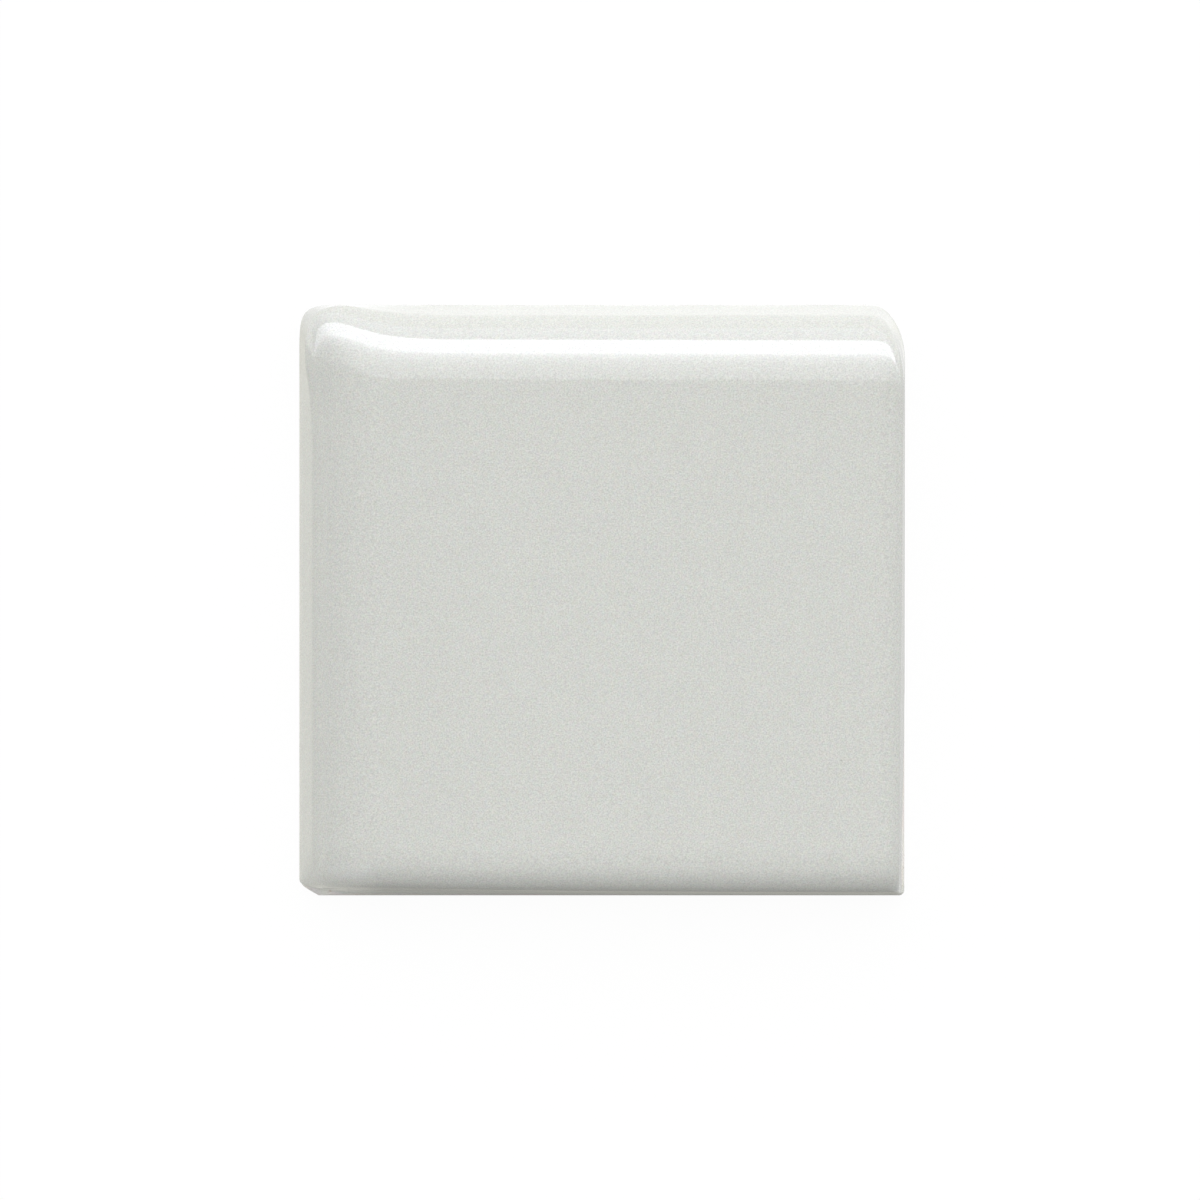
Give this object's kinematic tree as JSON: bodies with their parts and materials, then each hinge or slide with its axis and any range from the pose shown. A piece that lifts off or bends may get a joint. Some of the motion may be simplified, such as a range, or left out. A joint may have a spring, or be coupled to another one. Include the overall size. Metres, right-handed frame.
{
  "type": "bullnose tile",
  "caption": "Small square glazed ceramic trim tile with adjoining rolled edges at one corner and plain edges opposite, for finishing the corner of a tiled surface.",
  "frame": {"origin": "middle of the tile's outline, on the plane of its back, which it rests on", "axes": "+Z out of the glazed face; +Y towards one rolled edge; -X towards the other rolled edge; +X and -Y towards the plain edges"},
  "size_m": [0.0508, 0.0496, 0.0079],
  "materials": {
    "glaze": "gloss light grey glaze on a fired clay body"
  },
  "bodies": {
    "root": {"bullnose_tile": "glaze"}
  },
  "joints": []
}
